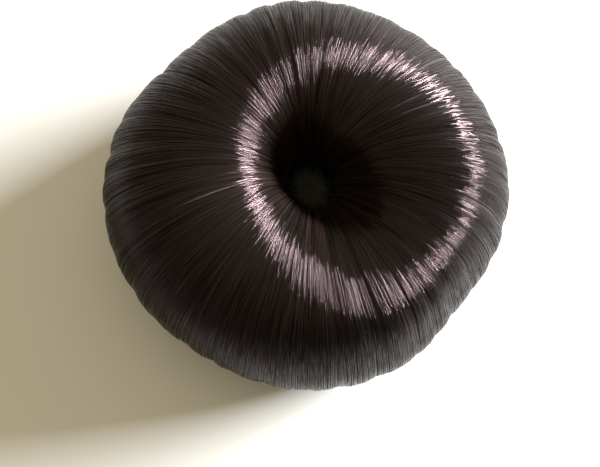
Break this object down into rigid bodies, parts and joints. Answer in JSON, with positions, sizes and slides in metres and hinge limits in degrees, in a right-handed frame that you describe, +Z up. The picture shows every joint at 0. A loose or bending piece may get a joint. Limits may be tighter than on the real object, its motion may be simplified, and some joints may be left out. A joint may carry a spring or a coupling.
{
  "type": "ring-shaped top knot hairpiece",
  "caption": "Ring of straight dark hair combed radially out of a central hole, over the crest and under, with an open mouth edged by a flat elastic band.",
  "frame": {"origin": "middle of the ring's outline, on the surface that the band rests on", "axes": "+Z up out of the hole, +X across the ring to the right, +Y to the back"},
  "size_m": [0.1, 0.0978, 0.044],
  "materials": {
    "dark_brown_hair": "smooth glossy synthetic hair, very dark brown",
    "cap_cloth": "matt woven cloth, dark grey",
    "elastic_webbing": "ribbed matt elastic, black"
  },
  "bodies": {
    "root": {"hair_ring": "dark_brown_hair", "centre_cap": "cap_cloth", "mouth_band": "elastic_webbing"}
  },
  "joints": []
}
